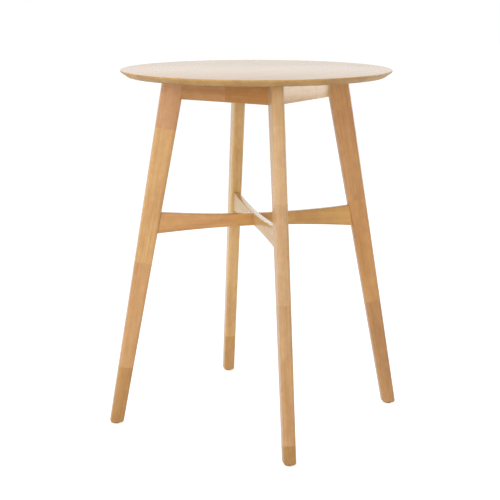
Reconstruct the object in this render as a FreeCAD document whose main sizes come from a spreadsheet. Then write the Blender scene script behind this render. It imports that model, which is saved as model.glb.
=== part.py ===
import FreeCAD, Part
import os
import Sketcher
from FreeCAD import Placement, Rotation, Vector

# Round bar table: a glued-up round top on an apron frame, four splayed legs and a crossed stretcher.
# Millimetres and degrees. The origin is on the floor under the middle of the top, with +Z up.
# The aprons lie along X and Y, and the legs and stretcher bars stand on the diagonals.

driving_sizes = [
    ("table_height", 1070, "floor to the upper face of the top"),
    ("top_diameter", 800, "across the rim"),
    ("top_thickness", 19, "staves, planed"),
    ("top_nose_height", 5, "upright part of the rim"),
    ("top_undercut", 20, "how far the bevel under the nose runs in"),
    ("top_rim_chamfer", 1.2, "on both arrises of the nose"),
    ("stave_count", 10, "staves across the top"),
    ("bracket_screw_bite", 13, "depth of the screw holes for the angle brackets"),
    ("leg_inner_top", 212, "table axis to the leg's inner slope, carried on up to the top"),
    ("leg_inner_foot", 416, "table axis to the leg's inner face at the foot"),
    ("leg_width_top", 66, "leg, across its taper under the top, before its seat is sawn"),
    ("leg_width_foot", 41, "leg, across its taper, at the foot"),
    ("leg_thickness", 36, "leg, the same all the way down"),
    ("leg_arris_round", 10, "round on the long arrises of a leg"),
    ("leg_foot_round", 8, "round on the foot end of a leg"),
    ("apron_outer", 174, "table axis to an apron's outer face"),
    ("apron_thickness", 20, "apron board"),
    ("apron_height", 65, "apron board"),
    ("apron_arris_round", 1.5, "round on the lower arrises of an apron"),
    ("stretcher_height", 619, "floor to the middle of the stretcher bars"),
    ("stretcher_thickness", 20, "stretcher board"),
    ("stretcher_end_depth", 63, "stretcher bar at the legs"),
    ("stretcher_waist_depth", 37, "stretcher bar at the crossing"),
    ("stretcher_arris_chamfer", 1.8, "on the long arrises of a bar"),
    ("halving_clearance", 0.2, "side clearance in the halving joint"),
    ("dowel_diameter", 8, "beech dowel"),
    ("dowel_length", 40, "half in the bar and half in the leg"),
    ("dowel_spacing", 30, "between the two dowels of a joint"),
    ("dowel_chamfer", 1, "at both ends of a dowel"),
    ("dowel_end_room", 1, "glue room past each end of a dowel"),
    ("fit_clearance", 0.1, "all round a dowel, bolt, screw or nail in its hole"),
    ("block_thickness", 32, "corner block, along the diagonal"),
    ("block_depth", 50, "corner block, upright"),
    ("block_drop", 6, "underside of the top to a corner block"),
    ("block_gap", 12, "inside corner of the apron frame to a corner block"),
    ("block_nose_round", 1, "round on the lower arrises of a corner block"),
    ("block_screw_spread", 52, "between the left and right screws of a block"),
    ("block_screw_spacing", 26, "between the upper and lower screws of a block"),
    ("block_screw_length", 30, "screw under its head"),
    ("bolt_diameter", 8, "hanger bolt"),
    ("bolt_spacing", 24, "between the two bolts of a leg"),
    ("bolt_bite", 36, "length of a bolt in its leg"),
    ("bolt_hole_clearance", 0.5, "all round a bolt where it passes a block or an apron"),
    ("bolt_stub", 3, "bolt end past its nut"),
    ("bolt_chamfer", 1, "at both ends of a bolt"),
    ("nut_width", 13, "across the flats"),
    ("nut_height", 6.5, "hexagon nut"),
    ("washer_diameter", 18, "plain washer"),
    ("washer_thickness", 1.6, "plain washer"),
    ("screw_diameter", 4, "all wood screws"),
    ("screw_point", 4, "cone at the end of a wood screw"),
    ("screw_head_diameter", 8, "pan head"),
    ("screw_head_height", 2.6, "pan head"),
    ("screw_drive_width", 1.2, "one bar of the cross recess"),
    ("screw_drive_length", 4.4, "across the cross recess"),
    ("screw_drive_depth", 1.4, "cross recess"),
    ("halving_screw_length", 30, "screw under its head"),
    ("halving_sink", 4, "depth of the sunk seat under the crossing"),
    ("sink_clearance", 0.5, "all round a screw head in its sunk seat"),
    ("bracket_flange", 20, "both flanges of an angle bracket"),
    ("bracket_width", 40, "along the apron"),
    ("bracket_gauge", 2, "steel"),
    ("bracket_bend", 1.5, "inside radius of the bend"),
    ("bracket_corner", 4, "round on the free corners of a flange"),
    ("bracket_hole_spacing", 24, "between the two holes of a flange"),
    ("bracket_hole_offset", 12, "corner of a bracket to its holes"),
    ("bracket_hole_clearance", 0.3, "all round a screw in a bracket"),
    ("bracket_slot_travel", 3, "extra length of a slot, so the top can swell"),
    ("glide_diameter", 20, "nail-on glide"),
    ("glide_height", 3, "glide, floor to wood"),
    ("glide_round", 0.8, "round on the lower rim of a glide"),
    ("nail_diameter", 2.4, "glide nail"),
    ("nail_length", 16, "under its head"),
    ("nail_head_diameter", 6, "glide nail"),
    ("nail_head_height", 1, "glide nail"),
    ("nail_sink", 1.8, "glide's lower face to the nail head's upper side"),
    ("overrun", 5, "how far a cut runs past the wood"),
]

doc = FreeCAD.newDocument("round_bar_table")
sizes = doc.addObject("Spreadsheet::Sheet", "sizes")
for row, (alias, number, note) in enumerate(driving_sizes, start=1):
    sizes.set(f"A{row}", alias)
    sizes.set(f"B{row}", str(number))
    sizes.set(f"C{row}", note)
    sizes.setAlias(f"B{row}", alias)
doc.recompute()

# Lengths worked out from the sheet, as expressions.
top_underside = "(sizes.table_height - sizes.top_thickness)"
top_radius = "(sizes.top_diameter / 2)"
stave_width = "(sizes.top_diameter / sizes.stave_count)"
leg_slope = f"((sizes.leg_inner_foot - sizes.leg_inner_top) / ({top_underside} - sizes.glide_height))"
apron_inner = "(sizes.apron_outer - sizes.apron_thickness)"
apron_underside = f"({top_underside} - sizes.apron_height)"
inside_corner = f"({apron_inner} * sqrt(2))"
leg_seat = "(sizes.apron_outer * sqrt(2) - sizes.leg_thickness / 2)"
stretcher_end_top = "(sizes.stretcher_height + sizes.stretcher_end_depth / 2)"
stretcher_end_bottom = "(sizes.stretcher_height - sizes.stretcher_end_depth / 2)"
stretcher_rise = "((sizes.stretcher_end_depth - sizes.stretcher_waist_depth) / 2)"
dowel_hole = "(sizes.dowel_diameter + 2 * sizes.fit_clearance)"
block_top = f"({top_underside} - sizes.block_drop)"
block_middle = f"({block_top} - sizes.block_depth / 2)"
block_outer = f"({inside_corner} - sizes.block_gap)"
block_inner = f"({block_outer} - sizes.block_thickness)"
screw_hole = "(sizes.screw_diameter + 2 * sizes.fit_clearance)"
bolt_hole = "(sizes.bolt_diameter + 2 * sizes.fit_clearance)"
bolt_passage = "(sizes.bolt_diameter + 2 * sizes.bolt_hole_clearance)"
bracket_slot_radius = "(sizes.screw_diameter / 2 + sizes.bracket_hole_clearance)"
foot_middle = "(sizes.leg_inner_foot + sizes.leg_width_foot / 2)"
bracket_screw_length = "(sizes.bracket_screw_bite + sizes.bracket_gauge - sizes.fit_clearance)"
nail_hole = "(sizes.nail_diameter + 2 * sizes.fit_clearance)"


def inner_face_at(height):
    """Table axis to a leg's inner face, at a height above the floor."""
    return f"(sizes.leg_inner_top + ({top_underside} - ({height})) * {leg_slope})"


dowel_middle = inner_face_at("sizes.stretcher_height")
dowel_reach = f"({dowel_middle} + sizes.dowel_length / 2)"
bolt_tip = f"({leg_seat} + sizes.bolt_bite)"
bolt_end = f"({block_inner} - sizes.washer_thickness - sizes.nut_height - sizes.bolt_stub)"


def value(expression):
    return float(sizes.evalExpression(expression.replace("sizes.", "")))


def check(body, before, name):
    """A cut or round that leaves the volume as it was has missed the wood."""
    doc.recompute()
    least_change = value("sizes.fit_clearance") ** 3
    if abs(body.Shape.Volume - before) < least_change:
        raise RuntimeError(f"{name} changes nothing")


def new_body(label):
    body = doc.addObject("PartDesign::Body", label)
    body.Label = label
    return body


def new_sketch(body, name, role, height=None, turn=0):
    """A sketch on an origin plane, moved along the plane's normal or turned about the table's axis."""
    plane = next(feature for feature in body.Origin.OriginFeatures if feature.Role == role)
    sketch = body.newObject("Sketcher::SketchObject", f"{body.Name}_{name}")
    sketch.AttachmentSupport = [(plane, "")]
    sketch.MapMode = "FlatFace"
    sketch.AttachmentOffset = Placement(Vector(), Rotation(Vector(0, 1, 0), turn))
    if height:
        sketch.setExpression("AttachmentOffset.Base.z", height)
    return sketch


def place(sketch, line, end, across, up):
    """Ties one point of a sketch to its two distances from the sketch's origin."""
    for direction, expression in (("DistanceX", across), ("DistanceY", up)):
        rule = Sketcher.Constraint(direction, -1, 1, line, end, value(expression))
        index = sketch.addConstraint(rule)
        sketch.setExpression(f"Constraints[{index}]", expression)


def arc_through(start, middle, finish):
    """An arc through three points, stored counter-clockwise whichever way they run."""
    if (middle - start).cross(finish - middle).z > 0:
        return Part.Arc(start, middle, finish)
    return Part.Arc(finish, middle, start)


def draw_outline(sketch, corners, bulges=None):
    """A closed outline through corners given as expressions. A bulge, by side, turns that side into an arc
    that passes the given point on the sketch's upright axis."""
    bulges = bulges or {}
    points = [Vector(value(across), value(up), 0) for across, up in corners]
    for side, start in enumerate(points):
        finish = points[(side + 1) % len(points)]
        if side in bulges:
            sketch.addGeometry(arc_through(start, Vector(0, value(bulges[side]), 0), finish))
        else:
            sketch.addGeometry(Part.LineSegment(start, finish))
    for side, (across, up) in enumerate(corners):
        start_end = end_near(sketch, side, points[side])
        previous = (side - 1) % len(points)
        previous_end = end_near(sketch, previous, points[side])
        sketch.addConstraint(Sketcher.Constraint("Coincident", previous, previous_end, side, start_end))
        place(sketch, side, start_end, across, up)
    for side, crown in bulges.items():
        half_span, end_height = corners[side]
        rise = f"abs({crown} - {end_height})"
        radius = f"(({half_span})^2 + ({rise})^2) / (2 * {rise})"
        index = sketch.addConstraint(Sketcher.Constraint("Radius", side, value(radius)))
        sketch.setExpression(f"Constraints[{index}]", radius)


def end_near(sketch, line, point):
    """Which end of a line or arc lies at a point: 1 is its start, 2 its finish."""
    geometry = sketch.Geometry[line]
    near_start = geometry.StartPoint.distanceToPoint(point) < geometry.EndPoint.distanceToPoint(point)
    return 1 if near_start else 2


def upright_pair(across, middle, spacing):
    """Two hole centres, one above the other."""
    return [(across, f"{middle} - {spacing} / 2"), (across, f"{middle} + {spacing} / 2")]


def level_pair(spacing, up):
    """Two hole centres side by side."""
    return [(f"-{spacing} / 2", up), (f"{spacing} / 2", up)]


def draw_circles(sketch, centres, diameter):
    for across, up in centres:
        circle = Part.Circle(Vector(value(across), value(up), 0), Vector(0, 0, 1), value(diameter) / 2)
        line = sketch.addGeometry(circle)
        place(sketch, line, 3, across, up)
        index = sketch.addConstraint(Sketcher.Constraint("Diameter", line, value(diameter)))
        sketch.setExpression(f"Constraints[{index}]", diameter)


def pad(body, sketch, length, both_ways=False):
    feature = body.newObject("PartDesign::Pad", f"{sketch.Name}_pad")
    feature.Profile = sketch
    feature.SideType = "Symmetric" if both_ways else "One side"
    feature.setExpression("Length", length)
    doc.recompute()
    return feature


def cut(body, sketch, length, both_ways=False, along_normal=True):
    before = body.Shape.Volume
    feature = body.newObject("PartDesign::Pocket", f"{sketch.Name}_cut")
    feature.Profile = sketch
    feature.SideType = "Symmetric" if both_ways else "One side"
    feature.Reversed = along_normal
    feature.setExpression("Length", length)
    check(body, before, feature.Name)
    return feature


def turn_profile(body, sketch):
    feature = body.newObject("PartDesign::Revolution", f"{sketch.Name}_turned")
    feature.Profile = sketch
    feature.ReferenceAxis = (sketch, ["V_Axis"])
    doc.recompute()
    return feature


def soften(body, name, radius, wanted, kind="Fillet"):
    """Rounds or chamfers the edges of the tip that the wanted test picks."""
    before = body.Shape.Volume
    base = body.Tip
    names = [f"Edge{number}" for number, edge in enumerate(base.Shape.Edges, start=1) if wanted(edge)]
    feature = body.newObject(f"PartDesign::{kind}", f"{body.Name}_{name}")
    feature.Base = (base, names)
    feature.setExpression("Radius" if kind == "Fillet" else "Size", radius)
    check(body, before, feature.Name)
    return feature


def mirror(body, features, role):
    """Repeats features on the other side of an origin plane."""
    before = body.Shape.Volume
    plane = next(feature for feature in body.Origin.OriginFeatures if feature.Role == role)
    copy = body.newObject("PartDesign::Mirrored", f"{features[0].Name}_mirror")
    copy.Originals = features
    copy.MirrorPlane = (plane, [""])
    body.Tip = copy
    check(body, before, copy.Name)


def repeat_round(body, features, count):
    """Repeats features about the table's axis."""
    before = body.Shape.Volume
    axis = next(feature for feature in body.Origin.OriginFeatures if feature.Role == "Z_Axis")
    copy = body.newObject("PartDesign::PolarPattern", f"{features[0].Name}_pattern")
    copy.Originals = features
    copy.Axis = (axis, [""])
    copy.Occurrences = count
    body.Tip = copy
    check(body, before, copy.Name)


def turned(angle):
    return Placement(Vector(), Rotation(Vector(0, 0, 1), angle))


# The four sides of the apron frame, named as seen from the front, which is -Y. The corner of the same name
# lies half a corner's turn further round.
side_angles = {"right": 0, "back": 90, "left": 180, "front": 270}
quarter_turns = len(side_angles)
half_corner = (side_angles["back"] - side_angles["right"]) / 2
corner_angles = {name: angle + half_corner for name, angle in side_angles.items()}

bolt_centres = upright_pair("0", block_middle, "sizes.bolt_spacing")
dowel_centres = upright_pair("0", "sizes.stretcher_height", "sizes.dowel_spacing")

nodes = []


def keep(piece):
    nodes.append(piece)
    return piece


# Tabletop: the whole disc with its rim and screw holes, then the strips that it was glued up from.
def make_top_blank():
    body = new_body("tabletop_blank")
    profile = new_sketch(body, "profile", "XZ_Plane")
    nose_foot = "sizes.table_height - sizes.top_nose_height"
    draw_outline(profile, [
        ("0", top_underside),
        (f"{top_radius} - sizes.top_undercut", top_underside),
        (top_radius, nose_foot),
        (top_radius, "sizes.table_height"),
        ("0", "sizes.table_height"),
    ])
    turn_profile(body, profile)
    radius = value(top_radius)
    reach = value("sizes.fit_clearance")
    soften(body, "rim", "sizes.top_rim_chamfer", lambda edge: (
        isinstance(edge.Curve, Part.Circle) and abs(edge.Curve.Radius - radius) < reach), kind="Chamfer")
    holes = new_sketch(body, "bracket_pilots", "XY_Plane", height=top_underside)
    across = f"{apron_inner} - sizes.bracket_hole_offset"
    draw_circles(holes, upright_pair(across, "0", "sizes.bracket_hole_spacing"), screw_hole)
    pilots = cut(body, holes, "sizes.bracket_screw_bite")
    repeat_round(body, [pilots], quarter_turns)
    return body


top_blank = make_top_blank()
for stave in range(int(value("sizes.stave_count"))):
    number = stave + 1
    strip = doc.addObject("Part::Box", f"strip_{number:02d}")
    strip.setExpression("Length", stave_width)
    strip.setExpression("Width", "sizes.top_diameter + 2 * sizes.overrun")
    strip.setExpression("Height", "sizes.top_thickness + 2 * sizes.overrun")
    strip.setExpression("Placement.Base.x", f"{stave} * {stave_width} - {top_radius}")
    strip.setExpression("Placement.Base.y", f"-{top_radius} - sizes.overrun")
    strip.setExpression("Placement.Base.z", f"{top_underside} - sizes.overrun")
    board = doc.addObject("Part::Common", f"tabletop_stave_{number:02d}")
    board.Base = top_blank
    board.Tool = strip
    keep(board)


# Legs: the profile lies in the diagonal plane, drawn along X and then turned to its corner. The head has an
# upright seat, sawn to bear on the flat corner of the apron frame.
def make_leg(corner, angle):
    body = new_body(f"leg_{corner}")
    profile = new_sketch(body, "profile", "XZ_Plane")
    draw_outline(profile, [
        ("sizes.leg_inner_foot", "sizes.glide_height"),
        ("sizes.leg_inner_foot + sizes.leg_width_foot", "sizes.glide_height"),
        ("sizes.leg_inner_top + sizes.leg_width_top", top_underside),
        ("sizes.leg_inner_top", top_underside),
    ])
    pad(body, profile, "sizes.leg_thickness", both_ways=True)
    leg_length = value(top_underside) - value("sizes.glide_height")
    soften(body, "arrises", "sizes.leg_arris_round", lambda edge: edge.Length >= leg_length)
    foot = value("sizes.glide_height")
    near = value("sizes.fit_clearance")
    soften(body, "foot", "sizes.leg_foot_round", lambda edge: edge.BoundBox.ZMax < foot + near)

    seat = new_sketch(body, "seat", "XZ_Plane")
    seat_top = f"{top_underside} + sizes.overrun"
    draw_outline(seat, [
        ("0", apron_underside),
        (leg_seat, apron_underside),
        (leg_seat, seat_top),
        ("0", seat_top),
    ])
    cut(body, seat, "2 * sizes.leg_thickness", both_ways=True)

    bolts = new_sketch(body, "bolt_holes", "YZ_Plane")
    draw_circles(bolts, bolt_centres, bolt_hole)
    cut(body, bolts, f"{bolt_tip} + sizes.fit_clearance")

    dowels = new_sketch(body, "dowel_holes", "YZ_Plane")
    draw_circles(dowels, dowel_centres, dowel_hole)
    cut(body, dowels, f"{dowel_reach} + sizes.dowel_end_room")

    nail = new_sketch(body, "nail_hole", "XY_Plane")
    draw_circles(nail, [(foot_middle, "0")], nail_hole)
    cut(body, nail, "sizes.nail_sink + sizes.nail_length + sizes.fit_clearance")
    body.Placement = turned(angle)
    return keep(body)


for corner, angle in corner_angles.items():
    make_leg(corner, angle)


# Aprons: both ends are mitred against the neighbours, and the corner is cut flat, as wide as a leg.
def make_apron(side, angle):
    body = new_body(f"apron_{side}")
    plan = new_sketch(body, "plan", "XY_Plane", height=apron_underside)
    draw_outline(plan, [
        (apron_inner, f"-{apron_inner}"),
        ("sizes.apron_outer", "-sizes.apron_outer"),
        ("sizes.apron_outer", "sizes.apron_outer"),
        (apron_inner, apron_inner),
    ])
    pad(body, plan, "sizes.apron_height")
    underside = value(apron_underside)
    near = value("sizes.fit_clearance")
    board_length = 2 * value(apron_inner)
    soften(body, "lower_arrises", "sizes.apron_arris_round", lambda edge: (
        edge.BoundBox.ZMax < underside + near and edge.Length >= board_length))

    flat = new_sketch(body, "corner_flat", "XZ_Plane", turn=half_corner)
    far_off = "sizes.apron_outer * 2"
    flat_top = f"{top_underside} + sizes.overrun"
    flat_bottom = f"{apron_underside} - sizes.overrun"
    draw_outline(flat, [
        (leg_seat, flat_bottom),
        (far_off, flat_bottom),
        (far_off, flat_top),
        (leg_seat, flat_top),
    ])
    end_cut = cut(body, flat, "sizes.apron_outer", both_ways=True)

    bolts = new_sketch(body, "bolt_passages", "YZ_Plane", turn=half_corner)
    draw_circles(bolts, bolt_centres, bolt_passage)
    bolt_cut = cut(body, bolts, "sizes.apron_outer * 2")

    screws = new_sketch(body, "block_pilots", "YZ_Plane", turn=half_corner)
    near_screws = upright_pair("-sizes.block_screw_spread / 2", block_middle, "sizes.block_screw_spacing")
    draw_circles(screws, near_screws, screw_hole)
    screw_cut = cut(body, screws, f"{block_inner} + sizes.block_screw_length + sizes.fit_clearance")
    mirror(body, [end_cut, bolt_cut, screw_cut], "XZ_Plane")

    pilots = new_sketch(body, "bracket_pilots", "YZ_Plane")
    level = f"{top_underside} - sizes.bracket_hole_offset"
    draw_circles(pilots, level_pair("sizes.bracket_hole_spacing", level), screw_hole)
    cut(body, pilots, f"{apron_inner} + sizes.bracket_screw_bite")
    body.Placement = turned(angle)
    return keep(body)


for side, angle in side_angles.items():
    make_apron(side, angle)


# Corner blocks: a wedge that fills the inside corner of two aprons and pulls the leg against their ends.
def make_corner_block(corner, angle):
    body = new_body(f"corner_block_{corner}")
    plan = new_sketch(body, "plan", "XY_Plane", height=f"{block_top} - sizes.block_depth")
    draw_outline(plan, [
        (block_inner, f"-({inside_corner} - {block_inner})"),
        (block_outer, f"-({inside_corner} - {block_outer})"),
        (block_outer, f"{inside_corner} - {block_outer}"),
        (block_inner, f"{inside_corner} - {block_inner}"),
    ])
    pad(body, plan, "sizes.block_depth")
    bottom = value(block_top) - value("sizes.block_depth")
    near = value("sizes.fit_clearance")
    inner = value(block_inner)
    soften(body, "lower_arris", "sizes.block_nose_round", lambda edge: (
        edge.BoundBox.ZMax < bottom + near and edge.BoundBox.XMax < inner + near))
    bolts = new_sketch(body, "bolt_passages", "YZ_Plane")
    draw_circles(bolts, bolt_centres, bolt_passage)
    cut(body, bolts, f"{block_outer} + sizes.overrun")
    screws = new_sketch(body, "screw_holes", "YZ_Plane")
    for hand in ("", "-"):
        across = f"{hand}sizes.block_screw_spread / 2"
        draw_circles(screws, upright_pair(across, block_middle, "sizes.block_screw_spacing"), screw_hole)
    cut(body, screws, f"{block_outer} + sizes.overrun")
    body.Placement = turned(angle)
    return keep(body)


for corner, angle in corner_angles.items():
    make_corner_block(corner, angle)


# Stretcher: two bars with hollowed edges, halved over each other and dowelled to the legs.
def make_stretcher(label, angle, notch_from_top):
    body = new_body(label)
    profile = new_sketch(body, "profile", "XZ_Plane")
    draw_outline(profile, [
        (f"-{inner_face_at(stretcher_end_bottom)}", stretcher_end_bottom),
        (inner_face_at(stretcher_end_bottom), stretcher_end_bottom),
        (inner_face_at(stretcher_end_top), stretcher_end_top),
        (f"-{inner_face_at(stretcher_end_top)}", stretcher_end_top),
    ], bulges={
        0: f"({stretcher_end_bottom} + {stretcher_rise})",
        2: f"({stretcher_end_top} - {stretcher_rise})",
    })
    pad(body, profile, "sizes.stretcher_thickness", both_ways=True)
    bar_length = value(inner_face_at(stretcher_end_top))
    soften(body, "arrises", "sizes.stretcher_arris_chamfer", lambda edge: edge.Length > bar_length,
           kind="Chamfer")

    notch = new_sketch(body, "notch", "XZ_Plane")
    half_notch = "(sizes.stretcher_thickness / 2 + sizes.halving_clearance)"
    notch_far = "sizes.stretcher_height + sizes.stretcher_end_depth"
    if not notch_from_top:
        notch_far = "sizes.stretcher_height - sizes.stretcher_end_depth"
    draw_outline(notch, [
        (f"-{half_notch}", "sizes.stretcher_height"),
        (half_notch, "sizes.stretcher_height"),
        (half_notch, notch_far),
        (f"-{half_notch}", notch_far),
    ])
    cut(body, notch, "2 * sizes.stretcher_thickness", both_ways=True)

    dowels = new_sketch(body, "dowel_holes", "YZ_Plane",
                        height=f"{dowel_middle} - sizes.dowel_length / 2 - sizes.dowel_end_room")
    draw_circles(dowels, dowel_centres, dowel_hole)
    drilled = cut(body, dowels, "sizes.dowel_length")
    mirror(body, [drilled], "YZ_Plane")

    screw = new_sketch(body, "screw_hole", "XY_Plane")
    draw_circles(screw, [("0", "0")], screw_hole)
    seat_height = "(sizes.stretcher_height - sizes.stretcher_waist_depth / 2 + sizes.halving_sink)"
    cut(body, screw, f"{seat_height} + sizes.halving_screw_length + sizes.fit_clearance")
    if notch_from_top:
        sink = new_sketch(body, "screw_sink", "XY_Plane")
        draw_circles(sink, [("0", "0")], "sizes.screw_head_diameter + 2 * sizes.sink_clearance")
        cut(body, sink, seat_height)
    body.Placement = turned(angle)
    return keep(body)


make_stretcher("stretcher_left_right", corner_angles["right"], notch_from_top=True)
make_stretcher("stretcher_front_back", corner_angles["front"], notch_from_top=False)


# Angle brackets: round holes to the apron, slots to the top, so that the top can swell across its staves.
def make_bracket(side, angle):
    body = new_body(f"top_bracket_{side}")
    profile = new_sketch(body, "profile", "XZ_Plane")
    toe = f"{apron_inner} - sizes.bracket_flange"
    heel = f"{top_underside} - sizes.bracket_flange"
    draw_outline(profile, [
        (apron_inner, heel),
        (apron_inner, top_underside),
        (toe, top_underside),
        (toe, f"{top_underside} - sizes.bracket_gauge"),
        (f"{apron_inner} - sizes.bracket_gauge", f"{top_underside} - sizes.bracket_gauge"),
        (f"{apron_inner} - sizes.bracket_gauge", heel),
    ])
    pad(body, profile, "sizes.bracket_width", both_ways=True)
    near = value("sizes.fit_clearance")
    bend_across = value(f"{apron_inner} - sizes.bracket_gauge")
    bend_up = value(f"{top_underside} - sizes.bracket_gauge")
    soften(body, "bend", "sizes.bracket_bend", lambda edge: (
        abs(edge.BoundBox.XMin - bend_across) < near and abs(edge.BoundBox.ZMin - bend_up) < near
        and edge.BoundBox.YLength > near))
    gauge = value("sizes.bracket_gauge")
    toe_across = value(toe)
    heel_up = value(heel)
    soften(body, "corners", "sizes.bracket_corner", lambda edge: (
        abs(edge.Length - gauge) < near and (edge.BoundBox.XMax < toe_across + near
                                             or edge.BoundBox.ZMax < heel_up + near)))
    holes = new_sketch(body, "apron_holes", "YZ_Plane")
    level = f"{top_underside} - sizes.bracket_hole_offset"
    draw_circles(holes, level_pair("sizes.bracket_hole_spacing", level), f"2 * {bracket_slot_radius}")
    cut(body, holes, f"{apron_inner} + sizes.overrun")
    across = f"({apron_inner} - sizes.bracket_hole_offset)"
    slots = new_sketch(body, "top_slots", "XY_Plane")
    for hand in ("-", ""):
        draw_slot(slots, across, f"{hand}sizes.bracket_hole_spacing / 2")
    cut(body, slots, f"{top_underside} + sizes.overrun")
    body.Placement = turned(angle)
    return keep(body)


def draw_slot(sketch, across, up):
    """A round-ended slot along the sketch's first axis, about a middle point."""
    radius = value(bracket_slot_radius)
    half_travel = value("sizes.bracket_slot_travel") / 2
    middle = Vector(value(across), value(up), 0)
    step = Vector(half_travel, 0, 0)
    side = Vector(0, radius, 0)
    reach = Vector(radius, 0, 0)
    first = sketch.addGeometry(Part.LineSegment(middle - step + side, middle + step + side))
    sketch.addGeometry(arc_through(middle + step + side, middle + step + reach, middle + step - side))
    sketch.addGeometry(Part.LineSegment(middle + step - side, middle - step - side))
    sketch.addGeometry(arc_through(middle - step - side, middle - step - reach, middle - step + side))
    right_arc, lower, left_arc = first + 1, first + 2, first + 3
    for line, point in ((first, middle + step + side), (lower, middle - step - side)):
        arc = right_arc if line == first else left_arc
        sketch.addConstraint(Sketcher.Constraint(
            "Tangent", line, end_near(sketch, line, point), arc, end_near(sketch, arc, point)))
    for line, point in ((lower, middle + step - side), (first, middle - step + side)):
        arc = right_arc if line == lower else left_arc
        sketch.addConstraint(Sketcher.Constraint(
            "Tangent", line, end_near(sketch, line, point), arc, end_near(sketch, arc, point)))
    index = sketch.addConstraint(Sketcher.Constraint("Radius", right_arc, radius))
    sketch.setExpression(f"Constraints[{index}]", bracket_slot_radius)
    place(sketch, right_arc, 3, f"{across} + sizes.bracket_slot_travel / 2", up)
    place(sketch, left_arc, 3, f"{across} - sizes.bracket_slot_travel / 2", up)


for side, angle in side_angles.items():
    make_bracket(side, angle)


# Foot glides: a turned plastic button with a sunk nail.
def make_glide(corner, angle):
    body = new_body(f"foot_glide_{corner}")
    disc = new_sketch(body, "disc", "XY_Plane")
    draw_circles(disc, [(foot_middle, "0")], "sizes.glide_diameter")
    pad(body, disc, "sizes.glide_height")
    near = value("sizes.fit_clearance")
    soften(body, "rim", "sizes.glide_round", lambda edge: (
        edge.BoundBox.ZMax < near and edge.BoundBox.ZMin > -near))
    hole = new_sketch(body, "nail_hole", "XY_Plane")
    draw_circles(hole, [(foot_middle, "0")], nail_hole)
    cut(body, hole, "sizes.glide_height + sizes.overrun")
    sink = new_sketch(body, "nail_sink", "XY_Plane")
    draw_circles(sink, [(foot_middle, "0")], "sizes.nail_head_diameter + 2 * sizes.fit_clearance")
    cut(body, sink, "sizes.nail_sink")
    body.Placement = turned(angle)
    return keep(body)


for corner, angle in corner_angles.items():
    make_glide(corner, angle)


# Fasteners: each kind is drawn once, head at the origin and shank along +Z, and copied to its places.
def make_wood_screw(label, length):
    body = new_body(label)
    profile = new_sketch(body, "profile", "XZ_Plane")
    shank = "sizes.screw_diameter / 2"
    draw_outline(profile, [
        ("0", "-sizes.screw_head_height"),
        ("sizes.screw_head_diameter / 2", "-sizes.screw_head_height"),
        ("sizes.screw_head_diameter / 2", "0"),
        (shank, "0"),
        (shank, f"{length} - sizes.screw_point"),
        ("0", length),
    ])
    turn_profile(body, profile)
    head = -value("sizes.screw_head_height")
    near = value("sizes.fit_clearance")
    soften(body, "head", "sizes.screw_head_height / 2", lambda edge: edge.BoundBox.ZMax < head + near)
    drive = new_sketch(body, "drive", "XY_Plane", height="-sizes.screw_head_height")
    half_long = "sizes.screw_drive_length / 2"
    half_wide = "sizes.screw_drive_width / 2"
    corners = [(half_wide, half_wide), (half_wide, half_long), (f"-{half_wide}", half_long),
               (f"-{half_wide}", half_wide), (f"-{half_long}", half_wide), (f"-{half_long}", f"-{half_wide}"),
               (f"-{half_wide}", f"-{half_wide}"), (f"-{half_wide}", f"-{half_long}"),
               (half_wide, f"-{half_long}"), (half_wide, f"-{half_wide}"), (half_long, f"-{half_wide}"),
               (half_long, half_wide)]
    draw_outline(drive, corners)
    cut(body, drive, "sizes.screw_drive_depth")
    return body


def make_pin(label, diameter, length, chamfer):
    """A plain round pin along +Z with chamfered ends, for dowels and bolts."""
    body = new_body(label)
    disc = new_sketch(body, "disc", "XY_Plane")
    draw_circles(disc, [("0", "0")], diameter)
    pad(body, disc, length)
    soften(body, "ends", chamfer, lambda edge: isinstance(edge.Curve, Part.Circle), kind="Chamfer")
    return body


def make_washer():
    body = new_body("washer")
    disc = new_sketch(body, "disc", "XY_Plane")
    draw_circles(disc, [("0", "0")], "sizes.washer_diameter")
    draw_circles(disc, [("0", "0")], bolt_passage)
    pad(body, disc, "sizes.washer_thickness")
    return body


def make_nut():
    body = new_body("nut")
    hexagon = new_sketch(body, "hexagon", "XY_Plane")
    half_flat = "(sizes.nut_width / 2)"
    corner = f"({half_flat} / cos(30))"
    draw_outline(hexagon, [
        (corner, "0"), (f"{corner} / 2", half_flat), (f"-{corner} / 2", half_flat),
        (f"-{corner}", "0"), (f"-{corner} / 2", f"-{half_flat}"), (f"{corner} / 2", f"-{half_flat}"),
    ])
    draw_circles(hexagon, [("0", "0")], bolt_hole)
    pad(body, hexagon, "sizes.nut_height")
    return body


def make_nail():
    body = new_body("nail")
    profile = new_sketch(body, "profile", "XZ_Plane")
    shank = "sizes.nail_diameter / 2"
    head = "sizes.nail_head_diameter / 2"
    draw_outline(profile, [
        ("0", "-sizes.nail_head_height"),
        (head, "-sizes.nail_head_height"),
        (head, "0"),
        (shank, "0"),
        (shank, "sizes.nail_length - sizes.nail_diameter"),
        ("0", "sizes.nail_length"),
    ])
    turn_profile(body, profile)
    return body


def make_group(label, master, places):
    """Identical fasteners share one node, as separate solids."""
    solids = []
    for position in places:
        solid = master.Shape.copy()
        solid.Placement = position.multiply(solid.Placement)
        solids.append(solid)
    group = doc.addObject("Part::Feature", label)
    group.Label = label
    group.Shape = Part.makeCompound(solids)
    group.Placement = Placement()
    return keep(group)


outwards = Rotation(Vector(0, 0, 1), Vector(1, 0, 0))
upwards = Rotation()


def places_round(angles, spots, rotation):
    """The same spots, in a corner's or side's own frame, at every one of the angles."""
    return [turned(angle).multiply(Placement(Vector(*spot), rotation))
            for angle in angles for spot in spots]


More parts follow.
